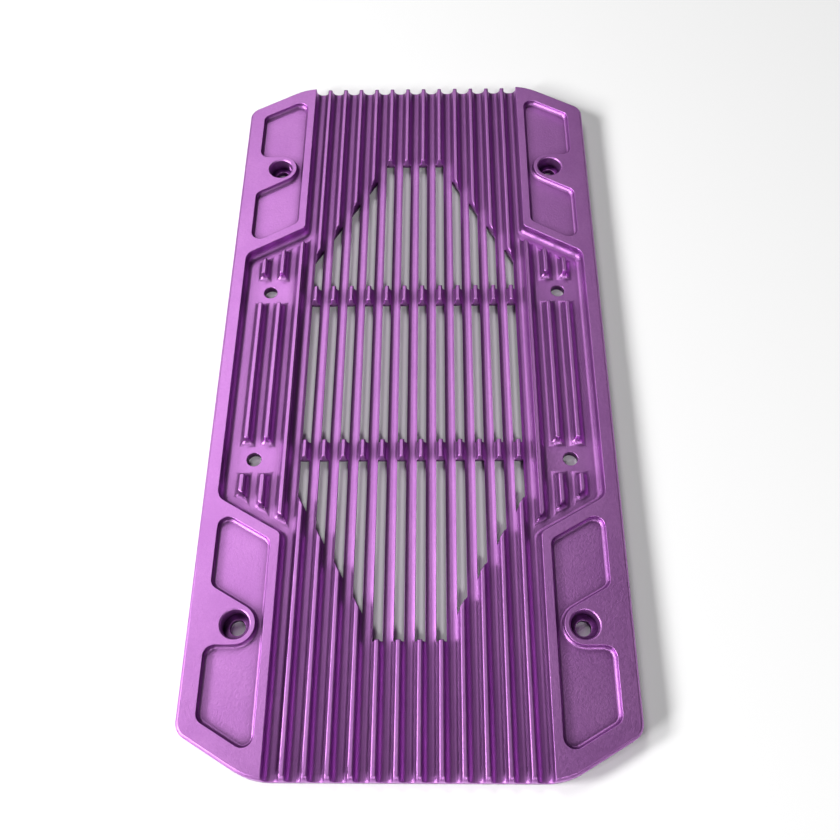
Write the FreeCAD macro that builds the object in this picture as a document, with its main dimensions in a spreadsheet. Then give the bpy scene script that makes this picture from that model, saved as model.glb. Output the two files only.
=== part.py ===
import FreeCAD, Part
import math
import os
import Sketcher

doc = FreeCAD.newDocument("finned_cover")

# Driving dimensions in millimetres and degrees
# Frame: X across, Y along, Z up; the back face lies on Z = 0 and the origin is at its middle
sizes = {
    "plate_width": 125,
    "plate_length": 250,
    "plate_thickness": 6.5,
    "slant_angle": 30,
    "corner_run": 20.8,
    "side_corner_radius": 5,
    "end_corner_radius": 20,
    "edge_break": 0.7,
    "back_edge_break": 0.3,
    # fins and the channel that they stand in
    "fin_count": 12,
    "fin_pitch": 6,
    "fin_width": 1.4,
    "fin_drop": 0.5,
    "fin_end_radius": 1.5,
    "floor_thickness": 2.7,
    "floor_radius": 2,
    # side pockets, open to the channel
    "pocket_rim": 4.5,
    "pocket_reach": 56.8,
    "pocket_corner_radius": 4,
    "pocket_nose_radius": 2,
    # ribs in the side pockets
    "rib_width": 1.6,
    "rib_pitch": 6.25,
    "rib_wall_gap": 6,
    "foot_spare": 0.2,
    "rib_end_gap": 5.5,
    "long_rib_length": 51,
    "rib_gap": 12,
    # shallow recesses in the four end blocks
    "recess_rim": 5.5,
    "recess_inner_rim": 2.7,
    "recess_slant_rim": 3.25,
    "recess_depth": 2,
    "recess_corner_radius": 3,
    "recess_floor_slope": 1,
    "boss_radius": 5.8,
    "boss_wall_radius": 3,
    # counterbored corner holes and plain side holes
    "bolt_spacing_x": 98,
    "bolt_spacing_y": 168,
    "bolt_hole": 4.5,
    "head_bore": 8,
    "head_depth": 4.4,
    "head_rim_break": 0.4,
    "side_hole_spacing_x": 98,
    "side_hole_spacing_y": 63,
    "side_hole": 4.5,
    # vent slots, one line of them under each fin
    "vent_width": 2.85,
    "vent_reach": 88,
    "vent_tip_width": 18,
    "vent_angle": 60,
    "tie_spacing": 58,
    "tie_width": 6,
    # hollow in the back, under the vents
    "relief_width": 74,
    "relief_length": 184,
    "relief_depth": 1.8,
    "relief_corner_radius": 4,
}

sheet = doc.addObject("Spreadsheet::Sheet", "dims")
for row, (word, number) in enumerate(sizes.items(), start=1):
    sheet.set("A%d" % row, word)
    sheet.set("B%d" % row, str(number))
    sheet.setAlias("B%d" % row, word)
doc.recompute()


def size(expression):
    # Value of a formula in the sheet's words
    value = sheet.evalExpression(expression)
    return float(getattr(value, "Value", value))


def named(formula):
    # Same formula with each size read from the sheet by other objects
    words = sorted(sizes, key=len, reverse=True)
    for index, word in enumerate(words):
        formula = formula.replace(word, "<%d>" % index)
    for index, word in enumerate(words):
        formula = formula.replace("<%d>" % index, "dims." + word)
    return formula


# Formulas that several features share
half_channel = "((fin_count + 1) * fin_pitch - fin_width) / 2"
crest_level = "(plate_thickness - fin_drop)"
pocket_wall = "(plate_width / 2 - pocket_rim)"
recess_wall = "(plate_width / 2 - recess_rim)"
recess_inner = "(%s + recess_inner_rim)" % half_channel
recess_low = "(pocket_reach + recess_slant_rim / cos(slant_angle))"
recess_high = "(plate_length / 2 + (plate_width / 2 - corner_run - %s) * tan(slant_angle)" % half_channel
recess_high += " - recess_rim / cos(slant_angle))"


def slanted(start, x):
    # Y of a line at the slant angle that passes the channel's edge at start
    return "(%s - (%s - %s) * tan(slant_angle))" % (start, x, half_channel)


def plane(body, role):
    for feature in body.Origin.OriginFeatures:
        if feature.Role == role:
            return feature


def sketch_on(body, name, role="XY_Plane", level="0"):
    sketch = body.newObject("Sketcher::SketchObject", name)
    sketch.AttachmentSupport = [(plane(body, role), "")]
    sketch.MapMode = "FlatFace"
    sketch.setExpression("AttachmentOffset.Base.z", named(level))
    doc.recompute()
    return sketch


def fix(sketch, kind, geometry, point, formula):
    # Place one point from the sketch's origin by a formula
    number = sketch.addConstraint(Sketcher.Constraint(kind, -1, 1, geometry, point, size(formula)))
    sketch.setExpression("Constraints[%d]" % number, named(formula))


def add_polygon(sketch, corners):
    # Closed outline through corners given as pairs of formulas
    places = [FreeCAD.Vector(size(x), size(y), 0) for x, y in corners]
    first = sketch.GeometryCount
    last = first + len(places) - 1
    for index, place in enumerate(places):
        follower = places[(index + 1) % len(places)]
        sketch.addGeometry(Part.LineSegment(place, follower), False)
    for line in range(first, last + 1):
        follower = line + 1 if line < last else first
        sketch.addConstraint(Sketcher.Constraint("Coincident", line, 2, follower, 1))
    for index, (x, y) in enumerate(corners):
        fix(sketch, "DistanceX", first + index, 1, x)
        fix(sketch, "DistanceY", first + index, 1, y)


def add_path(sketch, steps):
    # Closed outline of lines and quarter arcs; each step is where its piece starts
    # An arc also has its centre and its first angle, and runs anticlockwise
    first = sketch.GeometryCount
    starts = [FreeCAD.Vector(size(step[0]), size(step[1]), 0) for step in steps]
    for index, step in enumerate(steps):
        follower = starts[(index + 1) % len(steps)]
        if len(step) == 2:
            sketch.addGeometry(Part.LineSegment(starts[index], follower), False)
        else:
            centre = FreeCAD.Vector(size(step[2]), size(step[3]), 0)
            circle = Part.Circle(centre, FreeCAD.Vector(0, 0, 1), starts[index].distanceToPoint(centre))
            turn = math.radians(step[4])
            sketch.addGeometry(Part.ArcOfCircle(circle, turn, turn + math.pi / 2), False)
    for index, step in enumerate(steps):
        piece = first + index
        follower = first + (index + 1) % len(steps)
        sketch.addConstraint(Sketcher.Constraint("Coincident", piece, 2, follower, 1))
        fix(sketch, "DistanceX", piece, 1, step[0])
        fix(sketch, "DistanceY", piece, 1, step[1])
        if len(step) > 2:
            fix(sketch, "DistanceX", piece, 3, step[2])


def add_circle(sketch, x, y, diameter):
    centre = FreeCAD.Vector(size(x), size(y), 0)
    circle = Part.Circle(centre, FreeCAD.Vector(0, 0, 1), size(diameter) / 2)
    number = sketch.addGeometry(circle, False)
    fix(sketch, "DistanceX", number, 3, x)
    fix(sketch, "DistanceY", number, 3, y)
    rule = sketch.addConstraint(Sketcher.Constraint("Diameter", number, size(diameter)))
    sketch.setExpression("Constraints[%d]" % rule, named(diameter))


def signed(sign, formula):
    return "%d * (%s)" % (sign, formula)


def pad(body, name, sketch, length):
    feature = body.newObject("PartDesign::Pad", name)
    feature.Profile = sketch
    feature.setExpression("Length", named(length))
    doc.recompute()
    return feature


def pocket(body, name, sketch, depth):
    # A pocket goes down from its sketch, so the volume has to fall
    before = body.Shape.Volume
    feature = body.newObject("PartDesign::Pocket", name)
    feature.Profile = sketch
    feature.setExpression("Length", named(depth))
    doc.recompute()
    assert body.Shape.Volume < before - 1, name + " cut nothing"
    return feature


def dress(body, kind, name, value, chosen):
    # Fillet or chamfer on the edges that the test picks
    shape = body.Tip.Shape
    edges = ["Edge%d" % n for n, edge in enumerate(shape.Edges, start=1) if chosen(edge)]
    assert edges, name + " found no edge"
    base = body.Tip
    feature = body.newObject("PartDesign::" + kind, name)
    feature.Base = (base, edges)
    feature.setExpression("Radius" if kind == "Fillet" else "Size", named(value))
    doc.recompute()
    assert feature.isValid(), name + " failed"
    return feature


def middle(edge):
    return edge.valueAt((edge.FirstParameter + edge.LastParameter) / 2)


def is_upright(edge):
    box = edge.BoundBox
    return box.XLength < 1e-4 and box.YLength < 1e-4


def is_level(edge, level):
    box = edge.BoundBox
    return box.ZLength < 1e-4 and abs(box.ZMin - size(level)) < 1e-4


def is_near(edge, x, y):
    # Upright edge at one plan position, in any quadrant
    place = middle(edge)
    return abs(abs(place.x) - size(x)) < 0.02 and abs(abs(place.y) - size(y)) < 0.02


plate = doc.addObject("PartDesign::Body", "plate")
quadrants = [(1, 1), (-1, 1), (-1, -1), (1, -1)]

# Blank with four slanted corners
corner_rise = "(corner_run * tan(slant_angle))"
outline = sketch_on(plate, "outline")
add_polygon(outline, [
    ("plate_width / 2", "plate_length / 2 - " + corner_rise),
    ("plate_width / 2 - corner_run", "plate_length / 2"),
    ("-(plate_width / 2 - corner_run)", "plate_length / 2"),
    ("-plate_width / 2", "plate_length / 2 - " + corner_rise),
    ("-plate_width / 2", "-(plate_length / 2 - %s)" % corner_rise),
    ("-(plate_width / 2 - corner_run)", "-plate_length / 2"),
    ("plate_width / 2 - corner_run", "-plate_length / 2"),
    ("plate_width / 2", "-(plate_length / 2 - %s)" % corner_rise),
])
pad(plate, "blank", outline, "plate_thickness")
dress(plate, "Fillet", "side_corners", "side_corner_radius", lambda edge:
      is_upright(edge) and is_near(edge, "plate_width / 2", "plate_length / 2 - " + corner_rise))
dress(plate, "Fillet", "end_corners", "end_corner_radius", lambda edge:
      is_upright(edge) and is_near(edge, "plate_width / 2 - corner_run", "plate_length / 2"))
dress(plate, "Chamfer", "top_edge_break", "edge_break", lambda edge: is_level(edge, "plate_thickness"))

# Channel from end to end, widened into the two side pockets
pocket_corner = slanted("pocket_reach", pocket_wall)
channel = sketch_on(plate, "channel_outline", level="plate_thickness")
add_polygon(channel, [
    (half_channel, "plate_length / 2 + fin_pitch"),
    ("-" + half_channel, "plate_length / 2 + fin_pitch"),
    ("-" + half_channel, "pocket_reach"),
    ("-" + pocket_wall, pocket_corner),
    ("-" + pocket_wall, "-" + pocket_corner),
    ("-" + half_channel, "-pocket_reach"),
    ("-" + half_channel, "-(plate_length / 2 + fin_pitch)"),
    (half_channel, "-(plate_length / 2 + fin_pitch)"),
    (half_channel, "-pocket_reach"),
    (pocket_wall, "-" + pocket_corner),
    (pocket_wall, pocket_corner),
    (half_channel, "pocket_reach"),
])
pocket(plate, "channel", channel, "plate_thickness - floor_thickness")
dress(plate, "Fillet", "pocket_corners", "pocket_corner_radius", lambda edge:
      is_upright(edge) and is_near(edge, pocket_wall, pocket_corner))
dress(plate, "Fillet", "pocket_noses", "pocket_nose_radius", lambda edge:
      is_upright(edge) and is_near(edge, half_channel, "pocket_reach"))

# Fins along the whole channel
fin_height = crest_level + " - floor_thickness"
first_fin = "(fin_count - 1) * fin_pitch / 2"
fin = sketch_on(plate, "fin_outline", level="floor_thickness")
add_polygon(fin, [
    ("-%s - fin_width / 2" % first_fin, "-plate_length / 2"),
    ("-%s + fin_width / 2" % first_fin, "-plate_length / 2"),
    ("-%s + fin_width / 2" % first_fin, "plate_length / 2"),
    ("-%s - fin_width / 2" % first_fin, "plate_length / 2"),
])
fin_pad = pad(plate, "fin", fin, fin_height)
fins = plate.newObject("PartDesign::LinearPattern", "fins")
fins.Originals = [fin_pad]
fins.Direction = (plane(plate, "YZ_Plane"), [""])
fins.setExpression("Length", named("(fin_count - 1) * fin_pitch"))
fins.setExpression("Occurrences", named("fin_count"))
plate.Tip = fins
doc.recompute()

# Ribs in the side pockets: one beside the channel, then as many as fit before the wall
edge_rib = "((fin_count + 1) * fin_pitch / 2)"
rib_room = size(pocket_wall) - size(edge_rib) - size("rib_wall_gap")
rib_rows = int(rib_room / size("rib_pitch") + 1e-6)
ribs = sketch_on(plate, "rib_outlines", level="floor_thickness")
for side in (1, -1):
    for number in range(rib_rows + 1):
        x = "(%s + %d * rib_pitch)" % (edge_rib, number)
        sides = [x + " - rib_width / 2", x + " + rib_width / 2"]
        ends = ["(%s - rib_end_gap + floor_radius + foot_spare)" % slanted("pocket_reach", edge) for edge in sides]
        add_polygon(ribs, [
            (signed(side, sides[0]), "-" + ends[0]),
            (signed(side, sides[1]), "-" + ends[1]),
            (signed(side, sides[1]), ends[1]),
            (signed(side, sides[0]), ends[0]),
        ])
pad(plate, "ribs", ribs, fin_height)

# One floor radius along every wall, fin and rib
dress(plate, "Fillet", "floor_fillets", "floor_radius", lambda edge:
      is_level(edge, "floor_thickness") and abs(middle(edge).y) < size("plate_length / 2") - 1
      and not (abs(edge.Length - size("rib_width / cos(slant_angle)")) < 1e-3))
def cut_along(body, name, sketch, direction, length):
    # Pocket pushed in a stated direction, with its length measured along the sketch's normal
    before = body.Shape.Volume
    feature = body.newObject("PartDesign::Pocket", name)
    feature.Profile = sketch
    feature.UseCustomVector = True
    feature.Direction = FreeCAD.Vector(*direction)
    feature.AlongSketchNormal = True
    feature.setExpression("Length", named(length))
    doc.recompute()
    assert body.Shape.Volume < before - 1, name + " cut nothing"
    return feature


def channel_section(low, high, round_low, round_high):
    # Section of a cut down to the floor, with the floor radius in the corners that are asked for
    top = "(plate_thickness + fin_pitch)"
    floor = "floor_thickness"
    turn = "(floor_thickness + floor_radius)"
    path = [(low, top)]
    if round_low:
        path.append((low, turn, low + " + floor_radius", turn, 180))
        path.append((low + " + floor_radius", floor))
    else:
        path.append((low, floor))
    if round_high:
        path.append((high + " - floor_radius", floor, high + " - floor_radius", turn, 270))
        path.append((high, turn))
    else:
        path.append((high, floor))
    path.append((high, top))
    return path


# Cuts across the ribs: a gap round each side hole, and the ends beside the slanted walls
gap_low = "(long_rib_length / 2)"
gap_high = "(long_rib_length / 2 + rib_gap)"
gap_start = "(%s + rib_width / 2 + floor_radius + foot_spare)" % edge_rib
gap_length = "(%s - floor_radius - foot_spare - %s)" % (pocket_wall, gap_start)
end_start = "(%s - fin_pitch / 2)" % edge_rib
end_length = "(%s - floor_radius - foot_spare - %s)" % (pocket_wall, end_start)
end_low = "(%s - rib_end_gap)" % slanted("pocket_reach", end_start)
end_high = "(%s - floor_radius / cos(slant_angle) - foot_spare)" % slanted("pocket_reach", end_start)
slant = math.radians(size("slant_angle"))
for side in (1, -1):
    word = "right" if side > 0 else "left"
    gaps = sketch_on(plate, "rib_gaps_" + word, role="YZ_Plane", level=signed(side, gap_start))
    add_path(gaps, channel_section(gap_low, gap_high, True, True))
    add_path(gaps, channel_section(signed(-1, gap_high), signed(-1, gap_low), True, True))
    cut_along(plate, "rib_gap_cut_" + word, gaps, (side, 0, 0), gap_length)
    for end in (1, -1):
        name = word + ("_far" if end > 0 else "_near")
        section = sketch_on(plate, "rib_ends_" + name, role="YZ_Plane", level=signed(side, end_start))
        if end > 0:
            add_path(section, channel_section(end_low, end_high, True, False))
        else:
            add_path(section, channel_section(signed(-1, end_high), signed(-1, end_low), False, True))
        direction = (side * math.cos(slant), -end * math.sin(slant), 0)
        cut_along(plate, "rib_end_cut_" + name, section, direction, end_length)

# Fin ends rolled down at both ends of the channel
ends = sketch_on(plate, "fin_end_profile", role="YZ_Plane")
roll_y = "(plate_length / 2 - fin_end_radius)"
roll_z = "(%s - fin_end_radius)" % crest_level
clear_y = "(plate_length / 2 + fin_pitch)"
clear_z = "(plate_thickness + fin_pitch)"
add_path(ends, [
    ("plate_length / 2", roll_z, roll_y, roll_z, 0),
    (roll_y, crest_level),
    (roll_y, clear_z),
    (clear_y, clear_z),
    (clear_y, roll_z),
])
add_path(ends, [
    ("-" + roll_y, crest_level, "-" + roll_y, roll_z, 90),
    ("-plate_length / 2", roll_z),
    ("-" + clear_y, roll_z),
    ("-" + clear_y, clear_z),
    ("-" + roll_y, clear_z),
])
before = plate.Shape.Volume
end_cut = plate.newObject("PartDesign::Pocket", "fin_ends")
end_cut.Profile = ends
end_cut.SideType = "Symmetric"
end_cut.setExpression("Length", named("2 * " + half_channel))
doc.recompute()
assert plate.Shape.Volume < before - 1, "fin ends cut nothing"

# Shallow recess in each end block, with the bolt boss left standing in it
recess = sketch_on(plate, "recess_outlines", level="plate_thickness")
for x, y in quadrants:
    add_polygon(recess, [
        (signed(x, recess_wall), signed(y, slanted(recess_low, recess_wall))),
        (signed(x, recess_wall), signed(y, slanted(recess_high, recess_wall))),
        (signed(x, recess_inner), signed(y, slanted(recess_high, recess_inner))),
        (signed(x, recess_inner), signed(y, slanted(recess_low, recess_inner))),
    ])
pocket(plate, "recesses", recess, "recess_depth")

recess_floor = "(plate_thickness - recess_depth)"
boss_x = "(bolt_spacing_x / 2)"
boss_y = "(bolt_spacing_y / 2)"
touch_x = "(%s - boss_radius * sin(slant_angle))" % boss_x
touch_y = "(%s - boss_radius * cos(slant_angle))" % boss_y
webs = sketch_on(plate, "boss_webs", level=recess_floor)
bosses = sketch_on(plate, "bosses", level=recess_floor)
root_x = "(%s + edge_break)" % recess_wall
root_y = "(%s - (%s - %s) * tan(slant_angle))" % (touch_y, root_x, touch_x)
for x, y in quadrants:
    add_polygon(webs, [
        (signed(x, root_x), signed(y, root_y)),
        (signed(x, root_x), signed(y, boss_y + " + boss_radius")),
        (signed(x, boss_x), signed(y, boss_y + " + boss_radius")),
        (signed(x, boss_x), signed(y, boss_y)),
        (signed(x, touch_x), signed(y, touch_y)),
    ])
    add_circle(bosses, signed(x, boss_x), signed(y, boss_y), "2 * boss_radius")
pad(plate, "boss_webs_pad", webs, "recess_depth")
pad(plate, "bosses_pad", bosses, "recess_depth")
dress(plate, "Fillet", "recess_corners", "recess_corner_radius", lambda edge:
      is_upright(edge) and (is_near(edge, recess_wall, slanted(recess_low, recess_wall))
                            or is_near(edge, recess_wall, slanted(recess_high, recess_wall))
                            or is_near(edge, recess_inner, slanted(recess_high, recess_inner))
                            or is_near(edge, recess_inner, slanted(recess_low, recess_inner))))
wall_y = "(%s - (%s - %s) * tan(slant_angle))" % (touch_y, recess_wall, touch_x)
dress(plate, "Fillet", "boss_wall_fillets", "boss_wall_radius", lambda edge:
      is_upright(edge) and (is_near(edge, recess_wall, boss_y + " + boss_radius")
                            or is_near(edge, recess_wall, wall_y)))
dress(plate, "Chamfer", "recess_floor_slopes", "recess_floor_slope", lambda edge:
      is_level(edge, recess_floor) and abs(middle(edge).x) > size(recess_inner) - 0.01
      and abs(middle(edge).x) < size(recess_wall) + 0.01)

# Counterbored holes for the corner screws, plain holes in the side pockets
corner_marks = sketch_on(plate, "corner_hole_marks", level="plate_thickness")
side_marks = sketch_on(plate, "side_hole_marks", level="floor_thickness")
for x, y in quadrants:
    add_circle(corner_marks, signed(x, boss_x), signed(y, boss_y), "bolt_hole")
    add_circle(side_marks, signed(x, "side_hole_spacing_x / 2"), signed(y, "side_hole_spacing_y / 2"),
               "side_hole")
doc.recompute()
for name, marks, diameter in (("corner_holes", corner_marks, "bolt_hole"),
                              ("side_holes", side_marks, "side_hole")):
    before = plate.Shape.Volume
    hole = plate.newObject("PartDesign::Hole", name)
    hole.Profile = marks
    hole.DepthType = "ThroughAll"
    hole.setExpression("Diameter", named(diameter))
    if name == "corner_holes":
        hole.HoleCutType = "Counterbore"
        hole.HoleCutCustomValues = True
        hole.setExpression("HoleCutDiameter", named("head_bore"))
        hole.setExpression("HoleCutDepth", named("head_depth"))
    doc.recompute()
    assert plate.Shape.Volume < before - 1, name + " cut nothing"
dress(plate, "Chamfer", "head_rim_breaks", "head_rim_break", lambda edge:
      is_level(edge, "plate_thickness") and edge.isClosed()
      and abs(edge.BoundBox.XLength - size("head_bore")) < 1e-3)

# Back relieved under the vents, so that the bars between the slots are thin
relief = sketch_on(plate, "relief_outline")
add_polygon(relief, [
    ("relief_width / 2", "relief_length / 2"),
    ("-relief_width / 2", "relief_length / 2"),
    ("-relief_width / 2", "-relief_length / 2"),
    ("relief_width / 2", "-relief_length / 2"),
])
cut_along(plate, "relief", relief, (0, 0, 1), "relief_depth")
dress(plate, "Fillet", "relief_corners", "relief_corner_radius", lambda edge:
      is_upright(edge) and is_near(edge, "relief_width / 2", "relief_length / 2"))

# Vent slots, one line of them under each fin, with the bars and two ties between them left whole
fin_lines = int(size("fin_count / 2"))
vents = sketch_on(plate, "vent_outlines", level="plate_thickness")
tie_low = "(tie_spacing - tie_width) / 2"
tie_high = "(tie_spacing + tie_width) / 2"
for number in range(fin_lines):
    x = "(%d * fin_pitch / 2)" % (2 * number + 1)
    edges = [x + " - vent_width / 2", x + " + vent_width / 2"]
    reaches = ["vent_reach", "vent_reach"]
    if size(x) > size("vent_tip_width / 2"):
        reaches = ["vent_reach - (%s - vent_tip_width / 2) * tan(vent_angle)" % edge for edge in edges]
    for side in (1, -1):
        add_polygon(vents, [
            (signed(side, edges[0]), "-" + tie_low),
            (signed(side, edges[1]), "-" + tie_low),
            (signed(side, edges[1]), tie_low),
            (signed(side, edges[0]), tie_low),
        ])
        for end in (1, -1):
            add_polygon(vents, [
                (signed(side, edges[0]), signed(end, tie_high)),
                (signed(side, edges[1]), signed(end, tie_high)),
                (signed(side, edges[1]), signed(end, reaches[1])),
                (signed(side, edges[0]), signed(end, reaches[0])),
            ])
pocket(plate, "vent_slots", vents, "plate_thickness + fin_pitch")
dress(plate, "Chamfer", "back_edge_break", "back_edge_break", lambda edge:
      is_level(edge, "0") and not edge.isClosed()
      and (abs(middle(edge).x) > size("relief_width / 2") + 0.01
           or abs(middle(edge).y) > size("relief_length / 2") + 0.01))
plate.Label = "finned_cover"
doc.recompute()

for item in doc.Objects:
    state = item.State
    assert "Invalid" not in state and "Error" not in state, item.Name + " " + str(state)
shape = plate.Shape
assert not shape.isNull() and shape.isValid(), "shape is not valid"
assert len(shape.Solids) == 1, "one solid was expected"
os.makedirs("parts", exist_ok=True)
shape.exportStep("parts/finned_cover.step")
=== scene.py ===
import math
import bmesh
import bpy
import numpy as np
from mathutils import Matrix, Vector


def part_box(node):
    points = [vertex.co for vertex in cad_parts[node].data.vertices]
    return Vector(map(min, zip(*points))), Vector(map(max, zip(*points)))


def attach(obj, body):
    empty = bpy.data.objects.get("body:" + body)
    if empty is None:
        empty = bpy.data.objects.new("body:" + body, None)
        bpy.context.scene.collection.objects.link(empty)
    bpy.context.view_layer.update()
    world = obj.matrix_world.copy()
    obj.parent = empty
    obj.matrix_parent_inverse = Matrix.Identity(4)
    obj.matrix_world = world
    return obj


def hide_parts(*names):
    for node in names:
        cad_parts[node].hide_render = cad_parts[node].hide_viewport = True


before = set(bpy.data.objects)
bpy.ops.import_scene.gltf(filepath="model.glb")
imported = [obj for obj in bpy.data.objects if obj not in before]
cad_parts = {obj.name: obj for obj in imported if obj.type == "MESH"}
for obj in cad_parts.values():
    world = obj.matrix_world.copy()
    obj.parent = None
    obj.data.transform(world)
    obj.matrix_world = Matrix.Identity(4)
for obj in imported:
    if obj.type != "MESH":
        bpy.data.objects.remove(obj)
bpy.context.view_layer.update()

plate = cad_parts["finned_cover"]
low, high = (np.array(corner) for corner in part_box("finned_cover"))
print("frame loaded: plate", (high - low).round(4).tolist())


# a new node with its settings
def addNode(tree, kind, **settings):
    node = tree.nodes.new(kind)
    for name, value in settings.items():
        setattr(node, name, value)
    return node


# values for a node's inputs, each by its name with _ for a space
def setInputs(node, **values):
    for name, value in values.items():
        node.inputs[name.replace("_", " ")].default_value = value


# which values a Map Range node reads and what it makes of them
def setRange(node, reads, gives=(0, 1)):
    setInputs(node, From_Min=reads[0], From_Max=reads[1], To_Min=gives[0], To_Max=gives[1])


# a Mix node has sockets of several kinds, and these carry its colours
def colourSockets(sockets):
    return [socket for socket in sockets if socket.type == "RGBA"]


# links, given as output, input, output, input
def chain(tree, *ends):
    for out, into in zip(ends[::2], ends[1::2]):
        tree.links.new(out, into)


# the plate with its outer edges tumbled round, in metres and degrees
rounding = {
    "weld": 0.000002,        # vertices closer than this are one
    "flat": 0.5,             # faces within this angle are one flat
    "crease": 50,            # a corner from this angle stays crisp
    "crestWithin": 0.00001,  # an edge this near the crests' height is a crest edge
    "upright": 0.3,          # an edge that rises by more than this share of its length is upright
    "level": 0.9999,         # a face whose normal rises by more than this is level
    "areaWeight": 100,       # how strongly large faces pull the normals round them
    # an edge that folds outwards by "from" or more gets its round, in this order
    "forms": [
        # upright corners of the side pockets' ribs, by their distance from the plate's middle
        {"name": "rib corners", "from": 22, "round": 0.00055, "steps": 3,
         "across": (0.0381, 0.0535), "along": (0.020, 0.060)},
        # crests, which lie "drop" under the rim
        {"name": "crest edges", "from": 38, "round": 0.00042, "steps": 3, "drop": 0.0005},
        # every outer edge that is still sharp
        {"name": "outer edges", "from": 38, "round": 0.0002, "steps": 2},
    ],
}


def isRounded(edge, form):
    if not edge.is_manifold or edge.calc_face_angle_signed(0) < math.radians(form["from"]):
        return False
    start, end = (vert.co for vert in edge.verts)
    if "drop" in form:
        crest = high[2] - form["drop"]
        return max(abs(start.z - crest), abs(end.z - crest)) < rounding["crestWithin"]
    if "across" in form:
        middle = (start + end) / 2
        upright = abs(end.z - start.z) > rounding["upright"] * edge.calc_length()
        return (upright and form["across"][0] < abs(middle.x) < form["across"][1]
                and form["along"][0] < abs(middle.y) < form["along"][1])
    return True


# the modifier's normals are kept, but a level face gets exactly its own, so that it shades as a flat
def keepFlatsFlat(piece):
    ready = piece.evaluated_get(bpy.context.evaluated_depsgraph_get())
    mesh = bpy.data.meshes.new_from_object(ready)
    normals = np.array([corner.vector for corner in mesh.corner_normals])
    for face in mesh.polygons:
        if abs(face.normal.z) > rounding["level"]:
            normals[list(face.loop_indices)] = face.normal
    mesh.normals_split_custom_set(normals.tolist())
    piece.modifiers.clear()
    piece.data = mesh


def roundPlate():
    mesh = bpy.data.meshes.new("roundedPlate")
    shape = bmesh.new()
    shape.from_mesh(plate.data)
    bmesh.ops.remove_doubles(shape, verts=shape.verts[:], dist=rounding["weld"])
    bmesh.ops.dissolve_limit(shape, angle_limit=math.radians(rounding["flat"]),
                             verts=shape.verts[:], edges=shape.edges[:])
    for form in rounding["forms"]:
        chosen = [edge for edge in shape.edges if isRounded(edge, form)]
        print(form["name"], len(chosen))
        bmesh.ops.bevel(shape, geom=chosen, offset=form["round"], offset_type="OFFSET",
                        segments=form["steps"], profile=0.5, affect="EDGES",
                        clamp_overlap=False, loop_slide=True, miter_outer="ARC")
    for face in shape.faces:
        face.smooth = True
    shape.to_mesh(mesh)
    shape.free()
    mesh.set_sharp_from_angle(angle=math.radians(rounding["crease"]))
    piece = bpy.data.objects.new("roundedPlate", mesh)
    bpy.context.collection.objects.link(piece)
    weights = piece.modifiers.new("weights", "WEIGHTED_NORMAL")
    weights.keep_sharp = True
    weights.weight = rounding["areaWeight"]
    keepFlatsFlat(piece)
    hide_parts("finned_cover")
    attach(piece, "root")
    return piece


rounded = roundPlate()
print("plate rounded:", len(rounded.data.polygons), "faces")

# anodised, bead-blasted aluminium, with painted shade in its narrow grooves
anodising = {
    "dye": (0.50, 0.20, 0.57, 1),
    "dyeThin": (0.58, 0.25, 0.64, 1),
    # painted shade: the colour narrow grooves are darkened towards
    "paintedGrooveShade": (0.10, 0.03, 0.12, 1),
    "roughness": (0.43, 0.49),
    # noise scales are in cells per metre
    "grain": {"Scale": 3000, "Detail": 2.0, "Roughness": 0.6},
    "frost": {"Scale": 1300, "Detail": 3.0, "Roughness": 0.7},
    "cloud": {"Scale": 60, "Detail": 4.0, "Roughness": 0.6},
    "blast": {"Strength": 0.8, "Distance": 0.00006},
    "thinFrom": (0.16, 0.42),    # cloud times frost, from full dye to thin dye
    "shineFrom": (0.3, 0.7),     # frost, from the smoother finish to the rougher one
    "grooveReach": 0.004,        # how far a groove looks for its other wall, in metres
    "grooveFrom": (0.50, 0.92),  # openness, from full painted shade to none of it
    "grooveRays": 8,
}


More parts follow.
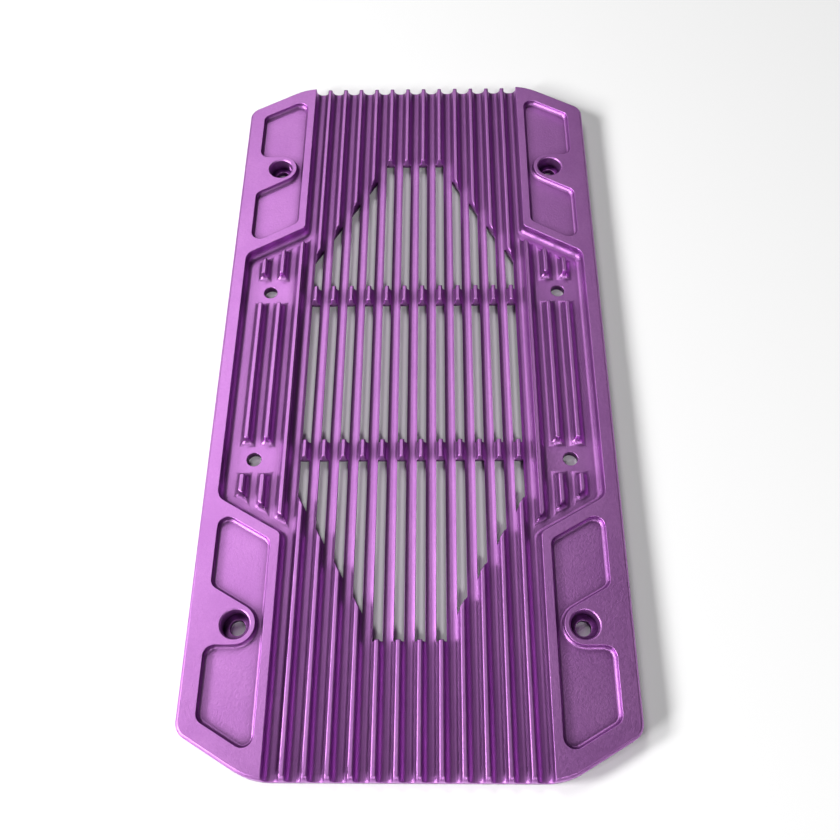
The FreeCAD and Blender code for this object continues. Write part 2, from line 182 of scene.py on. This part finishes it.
def makeAnodised():
    material = bpy.data.materials.new("anodised")
    material.use_nodes = True
    tree = material.node_tree
    tree.nodes.clear()
    out = addNode(tree, "ShaderNodeOutputMaterial")
    shader = addNode(tree, "ShaderNodeBsdfPrincipled")
    setInputs(shader, Metallic=1.0)
    where = addNode(tree, "ShaderNodeTexCoord")

    # blasted surface: fine grain over coarser frost
    grain = addNode(tree, "ShaderNodeTexNoise")
    setInputs(grain, **anodising["grain"])
    frost = addNode(tree, "ShaderNodeTexNoise")
    setInputs(frost, **anodising["frost"])
    both = addNode(tree, "ShaderNodeMath", operation="ADD")
    bump = addNode(tree, "ShaderNodeBump")
    setInputs(bump, **anodising["blast"])

    # the dye is a little thinner in clouds and where the frost stands up
    cloud = addNode(tree, "ShaderNodeTexNoise")
    setInputs(cloud, **anodising["cloud"])
    share = addNode(tree, "ShaderNodeMath", operation="MULTIPLY")
    tint = addNode(tree, "ShaderNodeMapRange")
    setRange(tint, anodising["thinFrom"])
    dye = addNode(tree, "ShaderNodeMix", data_type="RGBA")
    dyeSockets = colourSockets(dye.inputs)
    dyeSockets[0].default_value = anodising["dye"]
    dyeSockets[1].default_value = anodising["dyeThin"]

    # painted shade: an ambient occlusion mask darkens narrow grooves, standing in for the shade the fins
    # cast into them
    groove = addNode(tree, "ShaderNodeAmbientOcclusion", samples=anodising["grooveRays"])
    setInputs(groove, Distance=anodising["grooveReach"])
    openness = addNode(tree, "ShaderNodeMapRange")
    setRange(openness, anodising["grooveFrom"])
    grooveShadeMix = addNode(tree, "ShaderNodeMix", data_type="RGBA")
    grooveShadeSockets = colourSockets(grooveShadeMix.inputs)
    grooveShadeSockets[0].default_value = anodising["paintedGrooveShade"]

    # the frost also scatters the shine unevenly
    shine = addNode(tree, "ShaderNodeMapRange")
    setRange(shine, anodising["shineFrom"], anodising["roughness"])

    chain(tree,
          where.outputs["Object"], grain.inputs["Vector"],
          where.outputs["Object"], frost.inputs["Vector"],
          where.outputs["Object"], cloud.inputs["Vector"],
          grain.outputs["Fac"], both.inputs[0],
          frost.outputs["Fac"], both.inputs[1],
          both.outputs["Value"], bump.inputs["Height"],
          bump.outputs["Normal"], shader.inputs["Normal"],
          cloud.outputs["Fac"], share.inputs[0],
          frost.outputs["Fac"], share.inputs[1],
          share.outputs["Value"], tint.inputs["Value"],
          tint.outputs["Result"], dye.inputs["Factor"],
          colourSockets(dye.outputs)[0], grooveShadeSockets[1],
          groove.outputs["AO"], openness.inputs["Value"],
          openness.outputs["Result"], grooveShadeMix.inputs["Factor"],
          colourSockets(grooveShadeMix.outputs)[0], shader.inputs["Base Color"],
          frost.outputs["Fac"], shine.inputs["Value"],
          shine.outputs["Result"], shader.inputs["Roughness"],
          shader.outputs["BSDF"], out.inputs["Surface"])
    return material


rounded.data.materials.append(makeAnodised())
print("material ready")

# a wide sheet of pale paper that the plate lies on
paper = {"reach": 6.0, "colour": (0.93, 0.93, 0.93, 1), "roughness": 0.9}


def makeFloor():
    reach = paper["reach"]
    mesh = bpy.data.meshes.new("floor")
    corners = [(-reach, -reach, 0), (reach, -reach, 0), (reach, reach, 0), (-reach, reach, 0)]
    mesh.from_pydata(corners, [], [(0, 1, 2, 3)])
    floor = bpy.data.objects.new("floor", mesh)
    bpy.context.collection.objects.link(floor)
    floor.location.z = low[2]
    material = bpy.data.materials.new("floorPaper")
    material.use_nodes = True
    shader = material.node_tree.nodes["Principled BSDF"]
    setInputs(shader, Base_Color=paper["colour"], Roughness=paper["roughness"])
    floor.data.materials.append(material)


makeFloor()

# turn is counted from +X towards +Y and rise from the floor, in degrees; the rest is in metres and watts
lamps = {
    "key": {"turn": 190, "rise": 33, "reach": 1.5, "size": 0.34, "power": 18.5},
    "keyNear": {"turn": 215, "rise": 26, "reach": 1.5, "size": 0.34, "power": 13.5},
    "top": {"turn": 130, "rise": 60, "reach": 2.5, "size": 0.7, "power": 12.5},
    "far": {"turn": 103, "rise": 48, "reach": 2.5, "size": 0.6, "power": 5.5},
    "behind": {"turn": 285, "rise": 46, "reach": 2.5, "size": 0.4, "power": 16},
}


def makeLamp(name, setup):
    light = bpy.data.lights.new(name, "AREA")
    light.shape = "RECTANGLE"
    light.size = light.size_y = setup["size"]
    light.energy = setup["power"]
    lamp = bpy.data.objects.new(name, light)
    bpy.context.collection.objects.link(lamp)
    turn, rise = math.radians(setup["turn"]), math.radians(setup["rise"])
    reach = setup["reach"]
    lamp.location = (reach * math.cos(rise) * math.cos(turn),
                     reach * math.cos(rise) * math.sin(turn), reach * math.sin(rise))
    aim = -lamp.location.normalized()
    lamp.rotation_euler = aim.to_track_quat("-Z", "Y").to_euler()


for name, setup in lamps.items():
    makeLamp(name, setup)

# a trace of light from all round
air = {"colour": (1, 1, 1, 1), "strength": 0.01}


def makeAir():
    world = bpy.data.worlds.new("studio")
    bpy.context.scene.world = world
    world.use_nodes = True
    tree = world.node_tree
    tree.nodes.clear()
    out = addNode(tree, "ShaderNodeOutputWorld")
    glow = addNode(tree, "ShaderNodeBackground")
    setInputs(glow, Color=air["colour"], Strength=air["strength"])
    chain(tree, glow.outputs["Background"], out.inputs["Surface"])


makeAir()
print("floor and light ready")

# from above the near end, a little to the right
view = {
    "at": (0.0088, -0.1494),      # metres across and along from the plate's middle
    "above": 0.2498,              # metres over the rim
    "turn": (27.41, 1.23, 0.38),  # degrees
    "lens": 38.7,                 # millimetres, as the film
    "film": 36,
    "nearest": 0.01,
}


def makeCamera():
    camera = bpy.data.cameras.new("camera")
    camera.lens = view["lens"]
    camera.sensor_width = view["film"]
    camera.clip_start = view["nearest"]
    eye = bpy.data.objects.new("camera", camera)
    bpy.context.collection.objects.link(eye)
    eye.location = (*view["at"], view["above"] + float(high[2]))
    eye.rotation_euler = [math.radians(angle) for angle in view["turn"]]
    bpy.context.scene.camera = eye


makeCamera()
bpy.context.scene.view_settings.view_transform = "Standard"
print("camera ready")
